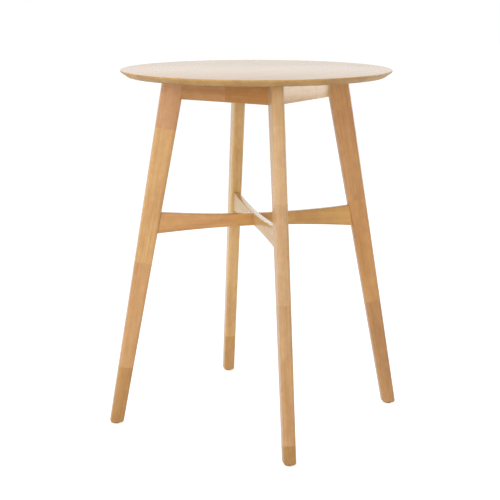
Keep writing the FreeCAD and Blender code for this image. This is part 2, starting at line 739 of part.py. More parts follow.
doc.recompute()
middle_height = value(block_middle)
bolt_step = value("sizes.bolt_spacing") / 2
bolt_length = f"{bolt_tip} - {bolt_end}"
corners = list(corner_angles.values())
sides = list(side_angles.values())

bolt = make_pin("hanger_bolt", "sizes.bolt_diameter", bolt_length, "sizes.bolt_chamfer")
washer = make_washer()
nut = make_nut()
for label, master, start in (
        ("hanger_bolts", bolt, bolt_end),
        ("hanger_washers", washer, f"{block_inner} - sizes.washer_thickness"),
        ("hanger_nuts", nut, f"{block_inner} - sizes.washer_thickness - sizes.nut_height")):
    spots = [(value(start), 0, middle_height + step) for step in (-bolt_step, bolt_step)]
    make_group(label, master, places_round(corners, spots, outwards))

block_screw = make_wood_screw("block_screw", "sizes.block_screw_length")
half_spread = value("sizes.block_screw_spread") / 2
screw_step = value("sizes.block_screw_spacing") / 2
spots = [(value(block_inner), hand, middle_height + step)
         for hand in (-half_spread, half_spread) for step in (-screw_step, screw_step)]
make_group("corner_block_screws", block_screw, places_round(corners, spots, outwards))

dowel = make_pin("dowel", "sizes.dowel_diameter", "sizes.dowel_length", "sizes.dowel_chamfer")
dowel_step = value("sizes.dowel_spacing") / 2
dowel_start = value(f"{dowel_middle} - sizes.dowel_length / 2")
spots = [(dowel_start, 0, value("sizes.stretcher_height") + step) for step in (-dowel_step, dowel_step)]
make_group("stretcher_dowels", dowel, places_round(corners, spots, outwards))

halving_screw = make_wood_screw("crossing_screw", "sizes.halving_screw_length")
seat = value("sizes.stretcher_height - sizes.stretcher_waist_depth / 2 + sizes.halving_sink")
make_group("halving_screw", halving_screw, [Placement(Vector(0, 0, seat), upwards)])

bracket_screw = make_wood_screw("bracket_screw", bracket_screw_length)
half_holes = value("sizes.bracket_hole_spacing") / 2
flange_face = value(f"{apron_inner} - sizes.bracket_gauge")
hole_level = value(f"{top_underside} - sizes.bracket_hole_offset")
spots = [(flange_face, hand, hole_level) for hand in (-half_holes, half_holes)]
make_group("bracket_apron_screws", bracket_screw, places_round(sides, spots, outwards))
hole_across = value(f"{apron_inner} - sizes.bracket_hole_offset")
flange_under = value(f"{top_underside} - sizes.bracket_gauge")
spots = [(hole_across, hand, flange_under) for hand in (-half_holes, half_holes)]
make_group("bracket_top_screws", bracket_screw, places_round(sides, spots, upwards))

nail = make_nail()
spots = [(value(foot_middle), 0, value("sizes.nail_sink"))]
make_group("glide_nails", nail, places_round(corners, spots, upwards))

# Every object is sound before anything is written.
doc.recompute()
for thing in doc.Objects:
    if "Invalid" in thing.State or "Error" in thing.State:
        raise RuntimeError(f"{thing.Name} failed: {thing.State}")
for node in nodes:
    if node.Shape.isNull() or not node.Shape.isValid():
        raise RuntimeError(f"{node.Label} has a bad shape")

os.makedirs("parts", exist_ok=True)
for node in nodes:
    node.Shape.exportStep(os.path.join("parts", f"{node.Label}.step"))
print(f"{len(nodes)} nodes written")
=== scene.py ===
import bpy
import math
from mathutils import Matrix, Vector


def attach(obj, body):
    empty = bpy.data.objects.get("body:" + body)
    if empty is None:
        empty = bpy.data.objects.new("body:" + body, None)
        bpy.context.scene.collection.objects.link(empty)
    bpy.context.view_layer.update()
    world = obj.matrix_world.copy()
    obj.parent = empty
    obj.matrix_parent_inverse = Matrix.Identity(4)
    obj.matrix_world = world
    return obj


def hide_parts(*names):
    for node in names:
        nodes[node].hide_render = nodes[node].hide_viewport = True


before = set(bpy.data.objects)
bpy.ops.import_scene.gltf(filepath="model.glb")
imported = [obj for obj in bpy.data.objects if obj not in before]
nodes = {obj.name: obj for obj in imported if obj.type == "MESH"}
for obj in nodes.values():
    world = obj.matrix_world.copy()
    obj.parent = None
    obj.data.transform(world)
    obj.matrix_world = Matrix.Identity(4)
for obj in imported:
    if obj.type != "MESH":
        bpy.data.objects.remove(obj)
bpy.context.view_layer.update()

# Round bar table in clear-lacquered rubberwood. Metres, in the frame of the CAD model: +Z is up, the
# aprons lie along X and Y, and the legs and the stretcher bars are on the diagonals.
# sides and corners are named by their turn about Z, in degrees from +X
sideTurns = {"right": 0, "back": 90, "left": 180, "front": 270}
cornerTurns = {"right": 45, "back": 135, "left": 225, "front": 315}
near = 0.00005  # places closer than this count as the same
smoothAngle = 35  # degrees; flatter edges are shaded smooth


def clearSelection():
    if bpy.context.object and bpy.context.object.mode != "OBJECT":
        bpy.ops.object.mode_set(mode="OBJECT")
    bpy.ops.object.select_all(action="DESELECT")


def takeUp(piece):
    clearSelection()
    piece.select_set(True)
    bpy.context.view_layer.objects.active = piece


def addBlock(name, middle, size):
    clearSelection()
    bpy.ops.mesh.primitive_cube_add(size=1, location=middle, scale=size)
    piece = bpy.context.object
    piece.name = piece.data.name = name
    bpy.ops.object.transform_apply(location=True, rotation=True, scale=True)
    return piece


# selects edges or faces in edit mode; wanted tells from the places of its corners whether to take one
def pick(piece, what, wanted):
    takeUp(piece)
    bpy.ops.object.mode_set(mode="EDIT")
    bpy.ops.mesh.select_mode(type=what)
    bpy.ops.mesh.select_all(action="DESELECT")
    bpy.ops.object.mode_set(mode="OBJECT")
    mesh = piece.data
    for element in mesh.edges if what == "EDGE" else mesh.polygons:
        element.select = wanted([mesh.vertices[corner].co for corner in element.vertices])
    bpy.ops.object.mode_set(mode="EDIT")


def roundOff(piece, wanted, radius, segments):
    pick(piece, "EDGE", wanted)
    bpy.ops.mesh.bevel(offset_type="OFFSET", offset=radius, segments=segments, profile=0.5, affect="EDGES")
    bpy.ops.object.mode_set(mode="OBJECT")


# cuts off what lies on the side that the normal points to, and closes the cut
def saw(piece, place, normal):
    takeUp(piece)
    bpy.ops.object.mode_set(mode="EDIT")
    bpy.ops.mesh.select_all(action="SELECT")
    bpy.ops.mesh.bisect(plane_co=place, plane_no=normal, use_fill=True, clear_outer=True)
    bpy.ops.object.mode_set(mode="OBJECT")


def cutAway(piece, cutter):
    takeUp(piece)
    modifier = piece.modifiers.new("cut", "BOOLEAN")
    modifier.object = cutter
    modifier.operation = "DIFFERENCE"
    modifier.solver = "EXACT"
    bpy.ops.object.modifier_apply(modifier=modifier.name)
    bpy.data.objects.remove(cutter)


# a copy with its own mesh, turned about the table's axis, its place kept in the mesh
def copyTurned(piece, name, angle):
    takeUp(piece)
    bpy.ops.object.duplicate(linked=False)
    turnedCopy = bpy.context.object
    turnedCopy.name = turnedCopy.data.name = name
    turnedCopy.rotation_euler.z = math.radians(angle)
    bpy.ops.object.transform_apply(location=True, rotation=True, scale=True)
    return turnedCopy


def discard(piece):
    bpy.data.objects.remove(piece)


def finishPiece(piece, node, material):
    takeUp(piece)
    bpy.ops.object.shade_smooth_by_angle(angle=math.radians(smoothAngle))
    piece.data.materials.clear()
    piece.data.materials.append(material)
    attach(piece, "root")
    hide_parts(node)


# adds and wires the nodes of one material or sky
class NodeBoard:
    def __init__(self, owner):
        owner.use_nodes = True
        self.owner = owner
        self.tree = owner.node_tree
        self.tree.nodes.clear()

    def add(self, kind, **settings):
        node = self.tree.nodes.new("ShaderNode" + kind)
        for key, setting in settings.items():
            setattr(node, key, setting)
        return node

    def wire(self, start, finish):
        self.tree.links.new(start, finish)

    def feed(self, socket, source):
        if isinstance(source, bpy.types.NodeSocket):
            self.wire(source, socket)
        else:
            socket.default_value = source

    def sums(self, operation, first, second=None, third=None):
        node = self.add("Math", operation=operation)
        for index, source in enumerate((first, second, third)):
            if source is not None:
                self.feed(node.inputs[index], source)
        return node.outputs[0]

    def vectors(self, operation, first, second=None):
        node = self.add("VectorMath", operation=operation)
        self.feed(node.inputs[0], first)
        if second is not None:
            self.feed(node.inputs[1], second)
        return node.outputs[0]

    def grains(self, vector, scale, detail=2.0, rough=0.5):
        node = self.add("TexNoise")
        self.wire(vector, node.inputs["Vector"])
        node.inputs["Scale"].default_value = scale
        node.inputs["Detail"].default_value = detail
        node.inputs["Roughness"].default_value = rough
        return node.outputs["Fac"]

    def steps(self, source, stops, interpolation="LINEAR"):
        node = self.add("ValToRGB")
        node.color_ramp.interpolation = interpolation
        elements = node.color_ramp.elements
        while len(elements) > 1:
            elements.remove(elements[-1])
        elements[0].position, elements[0].color = stops[0]
        for position, colour in stops[1:]:
            elements.new(position).color = colour
        self.wire(source, node.inputs["Fac"])
        return node

    def blend(self, factor, first, second, blendType="MIX"):
        node = self.add("Mix", data_type="RGBA", blend_type=blendType)
        self.feed(node.inputs["Factor"], factor)
        self.feed(node.inputs[6], first)  # 6 and 7 are the two colours of a Mix node
        self.feed(node.inputs[7], second)
        return node.outputs[2]  # and this is its colour result

    def bump(self, height, strength, distance):
        node = self.add("Bump")
        node.inputs["Strength"].default_value = strength
        node.inputs["Distance"].default_value = distance
        self.wire(height, node.inputs["Height"])
        return node.outputs["Normal"]

    # two sockets: 1 for camera rays, and 1 for mirror and glass rays
    def straightRays(self):
        rays = self.add("LightPath").outputs
        mirrored = self.sums("MAXIMUM", rays["Is Glossy Ray"], rays["Is Transmission Ray"])
        return rays["Is Camera Ray"], mirrored


def newPaint(name):
    board = NodeBoard(bpy.data.materials.new(name))
    board.shader = board.add("BsdfPrincipled")
    board.wire(board.shader.outputs["BSDF"], board.add("OutputMaterial").inputs["Surface"])
    return board


def grey(level):
    return (level, level, level, 1.0)


# rubberwood under one coat of clear lacquer. A stretch below 1 draws a pattern out along the grain, and a
# share says how far the pattern moves the tone between pale and dark
wood = {
    "pale": (0.600, 0.375, 0.158, 1.0),
    "dark": (0.470, 0.262, 0.098, 1.0),
    "pore": (0.230, 0.110, 0.040, 1.0),
    "blockShift": (0.31, 0.47, 3.7),
    "flameStretch": 0.11,
    "flameScale": 7.0,
    "flameDetail": 1.0,
    "flameLines": 46.0,
    "flameShare": 0.20,
    "streakStretch": 0.022,
    "streakScale": 170.0,
    "streakDetail": 4.0,
    "streakRough": 0.62,
    "streakShare": 0.56,
    "cloudStretch": 0.16,
    "cloudScale": 22.0,
    "cloudShare": 0.58,
    "mottleStretch": 0.60,
    "mottleScale": 62.0,
    "mottleShare": 0.40,
    "poreStretch": 0.09,
    "poreScale": 1500.0,
    "poreDetail": 1.0,
    "poreFrom": 0.60,
    "poreTo": 0.72,
    "poreDepth": 0.30,
    "toneFrom": 0.1,
    "toneTo": 0.9,
    "roughness": 0.22,
    "roughnessSpread": 0.08,
    "specular": 0.32,
    "streakRelief": 0.4,
    "poreRelief": 0.6,
    "reliefStrength": 0.10,
    "reliefDepth": 0.0002,
}


# alongGrain turns the object's coordinates so that the grain runs along Z, span is the piece's low and
# high end there, and each block is (its low end, its tint, its own shift of the pattern). A tint holds the
# block's own tone, and for some pieces painted light and shade as well
def woodFinish(name, alongGrain, span, blocks, look=None):
    look = {**wood, **(look or {})}
    board = newPaint(name)
    mapping = board.add("Mapping")
    mapping.inputs["Rotation"].default_value = alongGrain.to_euler("XYZ")
    board.wire(board.add("TexCoord").outputs["Object"], mapping.inputs["Vector"])
    grainSpace = mapping.outputs["Vector"]

    # end-glued blocks: a tint and a shift of the pattern for each; the tints also carry the painted light
    # and shade of some pieces
    height = board.add("SeparateXYZ")
    board.wire(grainSpace, height.inputs[0])
    share = board.add("MapRange")
    board.wire(height.outputs["Z"], share.inputs["Value"])
    share.inputs["From Min"].default_value = span[0]
    share.inputs["From Max"].default_value = span[1]
    stops = []
    for start, tint, shift in blocks:
        stops.append((max(0.0, (start - span[0]) / (span[1] - span[0])), (*tint, shift)))
    blockAndPaintedLightRamp = board.steps(share.outputs["Result"], stops, "CONSTANT")
    shift = board.add("CombineXYZ")
    for socket, amount in zip(shift.inputs, look["blockShift"]):
        board.wire(board.sums("MULTIPLY", blockAndPaintedLightRamp.outputs["Alpha"], amount), socket)
    shifted = board.vectors("ADD", grainSpace, shift.outputs[0])

    def along(stretch):
        return board.vectors("MULTIPLY", shifted, (1.0, 1.0, stretch))

    # the flame figure follows the level lines of a slow noise
    slow = board.grains(along(look["flameStretch"]), look["flameScale"], look["flameDetail"])
    flames = board.sums("SINE", board.sums("MULTIPLY", slow, look["flameLines"]))
    streaks = board.grains(along(look["streakStretch"]), look["streakScale"],
                           look["streakDetail"], look["streakRough"])
    clouds = board.grains(along(look["cloudStretch"]), look["cloudScale"])
    mottle = board.grains(along(look["mottleStretch"]), look["mottleScale"])
    poreNoise = board.grains(along(look["poreStretch"]), look["poreScale"], look["poreDetail"])
    poreStops = [(look["poreFrom"], grey(0.0)), (look["poreTo"], grey(1.0))]
    pores = board.steps(poreNoise, poreStops).outputs["Color"]

    # all of them swing about their middles, so that the mean tone stays halfway from pale to dark
    figure = board.sums("MULTIPLY_ADD", flames, look["flameShare"] / 2, 0.5)
    for noise, weight in ((streaks, look["streakShare"]), (clouds, look["cloudShare"]),
                          (mottle, look["mottleShare"])):
        swing = board.sums("SUBTRACT", noise, 0.5)
        figure = board.sums("MULTIPLY_ADD", swing, 2 * weight, figure)
    toneStops = [(look["toneFrom"], look["pale"]), (look["toneTo"], look["dark"])]
    tone = board.steps(figure, toneStops).outputs["Color"]
    tinted = board.blend(1.0, tone, blockAndPaintedLightRamp.outputs["Color"], "MULTIPLY")
    poreShare = board.sums("MULTIPLY", pores, look["poreDepth"])
    board.wire(board.blend(poreShare, tinted, look["pore"]), board.shader.inputs["Base Color"])

    roughness = look["roughness"] - look["roughnessSpread"] / 2
    gloss = board.sums("MULTIPLY_ADD", streaks, look["roughnessSpread"], roughness)
    board.wire(gloss, board.shader.inputs["Roughness"])
    board.shader.inputs["Specular IOR Level"].default_value = look["specular"]
    raised = board.sums("MULTIPLY", streaks, look["streakRelief"])
    sunk = board.sums("MULTIPLY", pores, look["poreRelief"])
    relief = board.sums("SUBTRACT", raised, sunk)
    normal = board.bump(relief, look["reliefStrength"], look["reliefDepth"])
    board.wire(normal, board.shader.inputs["Normal"])
    return board.owner


# bright zinc on the bolts, nuts, screws and brackets
zinc = {
    "bright": (0.62, 0.62, 0.61, 1.0),
    "dull": (0.50, 0.50, 0.49, 1.0),
    "stainScale": 60.0,
    "stainFrom": 0.3,
    "stainTo": 0.7,
    "spangleScale": 380.0,
    "spangleDetail": 3.0,
    "roughness": 0.34,
    "roughnessSpread": 0.20,
    "reliefStrength": 0.08,
    "reliefDepth": 0.0001,
}


def zincFinish(name):
    board = newPaint(name)
    coordinates = board.add("TexCoord").outputs["Object"]
    stains = board.grains(coordinates, zinc["stainScale"])
    stops = [(zinc["stainFrom"], zinc["dull"]), (zinc["stainTo"], zinc["bright"])]
    board.wire(board.steps(stains, stops).outputs["Color"], board.shader.inputs["Base Color"])
    board.shader.inputs["Metallic"].default_value = 1.0
    spangle = board.grains(coordinates, zinc["spangleScale"], zinc["spangleDetail"])
    roughness = zinc["roughness"] - zinc["roughnessSpread"] / 2
    gloss = board.sums("MULTIPLY_ADD", spangle, zinc["roughnessSpread"], roughness)
    board.wire(gloss, board.shader.inputs["Roughness"])
    normal = board.bump(spangle, zinc["reliefStrength"], zinc["reliefDepth"])
    board.wire(normal, board.shader.inputs["Normal"])
    return board.owner


# dark brown plastic of the nail-on glides
glide = {
    "plain": (0.055, 0.032, 0.018, 1.0),
    "scuffed": (0.090, 0.058, 0.036, 1.0),
    "scuffScale": 160.0,
    "scuffDetail": 3.0,
    "scuffFrom": 0.35,
    "scuffTo": 0.75,
    "speckleScale": 2600.0,
    "roughness": 0.48,
    "roughnessSpread": 0.16,
    "reliefStrength": 0.15,
    "reliefDepth": 0.00008,
}


def glideFinish(name):
    board = newPaint(name)
    coordinates = board.add("TexCoord").outputs["Object"]
    scuffs = board.grains(coordinates, glide["scuffScale"], glide["scuffDetail"])
    stops = [(glide["scuffFrom"], glide["plain"]), (glide["scuffTo"], glide["scuffed"])]
    board.wire(board.steps(scuffs, stops).outputs["Color"], board.shader.inputs["Base Color"])
    speckle = board.grains(coordinates, glide["speckleScale"])
    roughness = glide["roughness"] - glide["roughnessSpread"] / 2
    gloss = board.sums("MULTIPLY_ADD", speckle, glide["roughnessSpread"], roughness)
    board.wire(gloss, board.shader.inputs["Roughness"])
    normal = board.bump(speckle, glide["reliefStrength"], glide["reliefDepth"])
    board.wire(normal, board.shader.inputs["Normal"])
    return board.owner


# the turn that brings a direction of the table onto Z
def grainAlong(direction):
    return Vector(direction).normalized().rotation_difference(Vector((0, 0, 1))).to_matrix()


# tabletop: a disc with a rounded nose and an undercut, sawn into its staves
tabletop = {
    "radius": 0.400,
    "upper": 1.070,
    "thickness": 0.019,
    "noseHeight": 0.005,
    "undercut": 0.020,
    "noseRound": 0.0017,
    "noseSegments": 5,
    "rimPoints": 360,
    "staves": 10,
    "look": {
        "pale": (0.575, 0.368, 0.158, 1.0),
        "dark": (0.460, 0.266, 0.105, 1.0),
        "flameShare": 0.14,
        "streakShare": 0.46,
        "cloudShare": 0.44,
        "mottleShare": 0.12,
        "roughness": 0.20,
        "roughnessSpread": 0.02,
    },
    # nose and underside: the top's wood colours made darker as painted shade, and a rougher, less glossy
    # finish
    "shadedEdgeLook": {
        "pale": (0.475, 0.299, 0.111, 1.0),
        "dark": (0.376, 0.214, 0.074, 1.0),
        "flameShare": 0.14,
        "roughness": 0.42,
        "roughnessSpread": 0.10,
        "specular": 0.15,
    },
}

# each stave's end-glued lengths: where one starts along Y, its tint, and its shift of the pattern
staveBlocks = [
    [(-0.400, (1.00, 0.98, 0.95), 0.10), (0.060, (0.95, 0.93, 0.90), 0.62)],
    [(-0.400, (0.96, 0.94, 0.92), 0.33), (-0.110, (1.02, 1.00, 0.98), 0.91),
     (0.190, (0.97, 0.93, 0.90), 0.18)],
    [(-0.400, (1.02, 1.00, 0.96), 0.47), (0.020, (1.00, 0.95, 0.91), 0.05)],
    [(-0.400, (0.97, 0.93, 0.90), 0.76), (-0.210, (1.00, 0.99, 0.97), 0.28),
     (0.130, (0.96, 0.95, 0.93), 0.55)],
    [(-0.400, (1.01, 1.00, 0.99), 0.15), (-0.040, (1.00, 0.93, 0.88), 0.84)],
    [(-0.400, (0.98, 0.95, 0.92), 0.69), (-0.170, (1.02, 1.01, 1.00), 0.37),
     (0.210, (0.98, 0.96, 0.93), 0.97)],
    [(-0.400, (1.01, 0.98, 0.94), 0.24), (0.080, (0.98, 0.97, 0.95), 0.51)],
    [(-0.400, (0.95, 0.93, 0.91), 0.88), (-0.080, (1.01, 1.00, 0.98), 0.42),
     (0.240, (0.99, 0.95, 0.91), 0.13)],
    [(-0.400, (1.00, 0.99, 0.97), 0.58), (0.000, (0.97, 0.95, 0.92), 0.31)],
    [(-0.400, (0.98, 0.95, 0.93), 0.03), (-0.050, (1.01, 0.99, 0.96), 0.73)],
]


def makeTabletop():
    radius, upper, thickness = tabletop["radius"], tabletop["upper"], tabletop["thickness"]
    noseFoot = upper - tabletop["noseHeight"]
    underside = upper - thickness
    clearSelection()
    bpy.ops.mesh.primitive_cylinder_add(
        vertices=tabletop["rimPoints"], radius=radius, depth=tabletop["noseHeight"],
        location=(0, 0, upper - tabletop["noseHeight"] / 2), end_fill_type="NGON")
    disc = bpy.context.object
    disc.name = disc.data.name = "tabletopDisc"
    bpy.ops.object.transform_apply(location=True, rotation=True, scale=True)
    pick(disc, "FACE", lambda corners: all(corner.z < noseFoot + near for corner in corners))
    bpy.ops.mesh.extrude_region_move(TRANSFORM_OT_translate={"value": (0, 0, underside - noseFoot)})
    share = 1 - tabletop["undercut"] / radius
    bpy.ops.transform.resize(value=(share, share, 1), center_override=(0, 0, underside))
    bpy.ops.object.mode_set(mode="OBJECT")
    roundOff(disc, lambda corners: (
        all(abs(math.hypot(corner.x, corner.y) - radius) < near for corner in corners)
        and abs(corners[0].z - corners[1].z) < near), tabletop["noseRound"], tabletop["noseSegments"])

    width = 2 * radius / tabletop["staves"]
    for number in range(tabletop["staves"]):
        low = number * width - radius
        stave = copyTurned(disc, f"top_stave_{number + 1:02d}", 0)
        if number > 0:
            saw(stave, (low, 0, upper), (-1, 0, 0))
        if number < tabletop["staves"] - 1:
            saw(stave, (low + width, 0, upper), (1, 0, 0))
        placing = grainAlong((0, 1, 0)), (-radius, radius), staveBlocks[number]
        material = woodFinish(f"staveWood{number + 1:02d}", *placing, tabletop["look"])
        finishPiece(stave, f"tabletop_stave_{number + 1:02d}", material)
        # the nose and the underside are duller than the polished top face, and their colour is a darker
        # copy of the top's wood: painted shade
        shadedEdgeMaterial = woodFinish(f"staveEdgeShaded{number + 1:02d}", *placing, tabletop["shadedEdgeLook"])
        stave.data.materials.append(shadedEdgeMaterial)
        pick(stave, "FACE", lambda corners: any(
            corner.z < upper - tabletop["noseRound"] - near for corner in corners))
        stave.active_material_index = 1
        bpy.ops.object.material_slot_assign()
        bpy.ops.object.mode_set(mode="OBJECT")
    discard(disc)
    print("tabletop: staves", tabletop["staves"])


makeTabletop()


# legs: tapered and splayed in the diagonal plane, modelled along X and copied to the corners; the head has
# an upright seat that bears on the flat corner of the apron frame
leg = {
    "foot": 0.003,
    "upper": 1.051,
    "innerTop": 0.212,
    "innerFoot": 0.416,
    "widthTop": 0.066,
    "widthFoot": 0.041,
    "thickness": 0.036,
    "arrisRound": 0.010,
    "arrisSegments": 8,
    "footRound": 0.008,
    "footSegments": 6,
    "seat": 0.228073,  # from the axis: the frame's sharp corner, 0.174 * sqrt(2), less half a thickness
    "seatFoot": 0.986,
    "patternMargin": 0.02,
}

# each leg's end-glued blocks, from the foot up: low end above the floor, tint, and shift of the pattern.
# The tints also hold painted light and shade: the darker foot blocks are partly painted shade near the
# floor, the front leg's top block is darker as painted shade under the top, the right leg's lighter top
# block is painted light against that shade, and the back leg's raised tints are painted light
legBlocksAndPaintedLight = {
    "left": [(0.0, (0.79, 0.70, 0.58), 0.22), (0.175, (0.93, 0.84, 0.85), 0.64),
             (0.501, (1.00, 0.96, 0.95), 0.41), (0.899, (0.91, 0.82, 0.96), 0.87)],
    "front": [(0.0, (0.67, 0.60, 0.46), 0.12), (0.053, (0.90, 0.87, 0.93), 0.93),
              (0.292, (0.85, 0.83, 0.92), 0.55), (0.440, (0.90, 0.91, 1.10), 0.35),
              (0.717, (0.93, 0.96, 1.18), 0.08), (0.930, (0.88, 0.91, 1.04), 0.08)],
    "right": [(0.0, (0.84, 0.73, 0.71), 0.71), (0.343, (0.91, 0.77, 0.66), 0.05),
              (0.665, (0.86, 0.74, 0.71), 0.46), (0.945, (0.96, 0.85, 0.82), 0.19)],
    "back": [(0.0, (0.95, 0.88, 0.76), 0.93), (0.135, (1.13, 1.15, 1.19), 0.17),
             (0.560, (1.06, 1.11, 1.12), 0.33), (0.799, (1.09, 1.14, 1.15), 0.60)],
}


def makeLegs():
    height = leg["upper"] - leg["foot"]
    footMiddle = leg["innerFoot"] + leg["widthFoot"] / 2
    topMiddle = leg["innerTop"] + leg["widthTop"] / 2
    blank = addBlock("legBlank", (topMiddle, 0, leg["foot"] + height / 2),
                     (leg["widthTop"], leg["thickness"], height))
    pick(blank, "FACE", lambda corners: all(corner.z < leg["foot"] + near for corner in corners))
    bpy.ops.transform.resize(value=(leg["widthFoot"] / leg["widthTop"], 1, 1),
                             center_override=(leg["innerTop"], 0, leg["foot"]))
    bpy.ops.transform.translate(value=(leg["innerFoot"] - leg["innerTop"], 0, 0))
    bpy.ops.object.mode_set(mode="OBJECT")
    roundOff(blank, lambda corners: abs(corners[0].z - corners[1].z) > height / 2,
             leg["arrisRound"], leg["arrisSegments"])
    roundOff(blank, lambda corners: all(corner.z < leg["foot"] + near for corner in corners),
             leg["footRound"], leg["footSegments"])
    # the seat is cut by a block that stands above the head and past both sides
    seatHeight = leg["upper"] - leg["seatFoot"]
    cutAway(blank, addBlock("seatBlock", (leg["seat"] - seatHeight, 0, leg["seatFoot"] + seatHeight),
                            (2 * seatHeight, 2 * leg["thickness"], 2 * seatHeight)))
    for corner, turn in cornerTurns.items():
        angle = math.radians(turn)
        across = topMiddle - footMiddle
        axis = Vector((across * math.cos(angle), across * math.sin(angle), height))
        alongGrain = grainAlong(axis)
        footPoint = Vector((footMiddle * math.cos(angle), footMiddle * math.sin(angle), leg["foot"]))
        start = alongGrain @ footPoint
        stretch = axis.length / height
        blocks = []
        for low, tint, shift in legBlocksAndPaintedLight[corner]:
            blocks.append((start.z + (low - leg["foot"]) * stretch, tint, shift))
        span = (start.z - leg["patternMargin"], start.z + axis.length + leg["patternMargin"])
        material = woodFinish(f"legWood{corner.capitalize()}", alongGrain, span, blocks)
        piece = copyTurned(blank, f"table_leg_{corner}", turn)
        finishPiece(piece, f"leg_{corner}", material)
    discard(blank)
    print("legs:", len(cornerTurns))


makeLegs()


# aprons: mitred against each other, and each corner cut flat, as wide as a leg
apron = {
    "outer": 0.174,
    "thickness": 0.020,
    "height": 0.065,
    "arrisRound": 0.0015,
    "arrisSegments": 4,
    "patternReach": 0.2,
    "look": {"flameShare": 0.32, "flameLines": 34.0},
}

# each apron's end-glued lengths, from its right end as seen from the middle of the table. The front
# apron's dark tints are partly its own redder wood and partly painted shade under the top's overhang, and
# the right apron's paler tints are partly painted sheen
apronBlocksAndPaintedLight = {
    "front": [(-0.20, (0.73, 0.60, 0.53), 0.35), (0.004, (0.74, 0.58, 0.37), 0.81)],
    "right": [(-0.20, (1.01, 1.07, 1.07), 0.15), (0.060, (0.99, 1.02, 1.02), 0.52)],
    "back": [(-0.20, (0.98, 0.93, 0.86), 0.67), (0.010, (1.02, 0.98, 0.93), 0.26)],
    "left": [(-0.20, (1.00, 0.95, 0.90), 0.44), (-0.050, (0.95, 0.90, 0.83), 0.09)],
}


def makeAprons():
    upper = leg["upper"]
    lower = upper - apron["height"]
    outer, inner = apron["outer"], apron["outer"] - apron["thickness"]
    board = addBlock("apronBlank", (outer - apron["thickness"] / 2, 0, (upper + lower) / 2),
                     (apron["thickness"], 2 * outer, apron["height"]))
    roundOff(board, lambda corners: (
        all(corner.z < lower + near for corner in corners) and abs(corners[0].y - corners[1].y) > outer),
        apron["arrisRound"], apron["arrisSegments"])
    flat = leg["seat"] * math.sqrt(0.5)
    for hand in (-1, 1):
        saw(board, (inner, hand * inner, upper), (-1, hand, 0))
        saw(board, (flat, hand * flat, upper), (1, hand, 0))
    for side, turn in sideTurns.items():
        piece = copyTurned(board, f"top_apron_{side}", turn)
        direction = Matrix.Rotation(math.radians(turn), 3, "Z") @ Vector((0, 1, 0))
        span = (-apron["patternReach"], apron["patternReach"])
        material = woodFinish(f"apronWood{side.capitalize()}", grainAlong(direction), span,
                              apronBlocksAndPaintedLight[side], apron["look"])
        finishPiece(piece, f"apron_{side}", material)
    discard(board)
    print("aprons:", len(sideTurns))


makeAprons()


# stretcher: two bars with hollowed edges, halved over each other
stretcher = {
    "middle": 0.619,
    "thickness": 0.020,
    "endDepth": 0.063,
    "waistDepth": 0.037,
    "arrisRound": 0.0024,
    "arrisSegments": 4,
    "halvingPlay": 0.0002,
    "archPoints": 1536,
    "blankStretch": 2.4,
    "cutterStretch": 3,
    "patternReach": 0.32,
}

# each bar's end-glued lengths, along the bar; the front-back bar's paler, whiter tints are partly painted
# sheen on its grazing faces
barBlocksAndPaintedSheen = {
    "stretcher_left_right": [(-0.32, (0.92, 0.80, 0.74), 0.18), (-0.060, (0.92, 0.82, 0.64), 0.66),
                             (0.120, (0.94, 0.86, 0.71), 0.39)],
    "stretcher_front_back": [(-0.32, (0.96, 1.02, 1.02), 0.74), (0.050, (0.94, 0.96, 0.97), 0.29)],
}


def makeBar(name, node, turn, notchFromTop):
    middle, thickness = stretcher["middle"], stretcher["thickness"]
    half = stretcher["endDepth"] / 2
    slope = (leg["innerFoot"] - leg["innerTop"]) / (leg["upper"] - leg["foot"])

    # how far from the axis the legs' inner faces stand at a height
    def reach(height):
        return leg["innerTop"] + (leg["upper"] - height) * slope

    bar = addBlock(name, (0, 0, middle), (stretcher["blankStretch"] * reach(middle), thickness, 2 * half))
    rise = (stretcher["endDepth"] - stretcher["waistDepth"]) / 2
    for hand in (-1, 1):
        edge = middle + hand * half
        span = reach(edge)
        radius = (span * span + rise * rise) / (2 * rise)
        clearSelection()
        bpy.ops.mesh.primitive_cylinder_add(
            vertices=stretcher["archPoints"], radius=radius, depth=stretcher["cutterStretch"] * thickness,
            location=(0, 0, edge + hand * (radius - rise)), rotation=(math.radians(90), 0, 0))
        cutAway(bar, bpy.context.object)
    for hand in (-1, 1):
        saw(bar, (hand * reach(middle), 0, middle), (hand, 0, slope))
    roundOff(bar, lambda corners: (
        abs(corners[0].y - corners[1].y) < near and abs(abs(corners[0].y) - thickness / 2) < near
        and abs(corners[0].z - corners[1].z) < rise), stretcher["arrisRound"], stretcher["arrisSegments"])
    notchHeight = stretcher["endDepth"]
    notchSide = 1 if notchFromTop else -1
    notch = addBlock("notch", (0, 0, middle + notchSide * notchHeight / 2),
                     (thickness + 2 * stretcher["halvingPlay"], 2 * thickness, notchHeight))
    cutAway(bar, notch)
    bar.rotation_euler.z = math.radians(turn)
    takeUp(bar)
    bpy.ops.object.transform_apply(location=True, rotation=True, scale=True)
    direction = (math.cos(math.radians(turn)), math.sin(math.radians(turn)), 0)
    span = (-stretcher["patternReach"], stretcher["patternReach"])
    material = woodFinish(f"{name}Wood", grainAlong(direction), span, barBlocksAndPaintedSheen[node])
    finishPiece(bar, node, material)


makeBar("bar_left_right", "stretcher_left_right", cornerTurns["right"], True)
makeBar("bar_front_back", "stretcher_front_back", cornerTurns["front"], False)
print("stretcher: two bars")


# the CAD meshes that stay as they are: corner blocks, dowels, hardware and glides
rest = {
    "blockReach": 0.1,
    "dowelReach": 0.5,
    "dowelShift": 0.4,
    "look": {
        "pale": (0.66, 0.47, 0.27, 1.0),
        "dark": (0.54, 0.355, 0.18, 1.0),
        "roughness": 0.62,
        "reliefStrength": 0.25,
    },
}


def dress(node, material):
    nodes[node].data.materials.clear()
    nodes[node].data.materials.append(material)


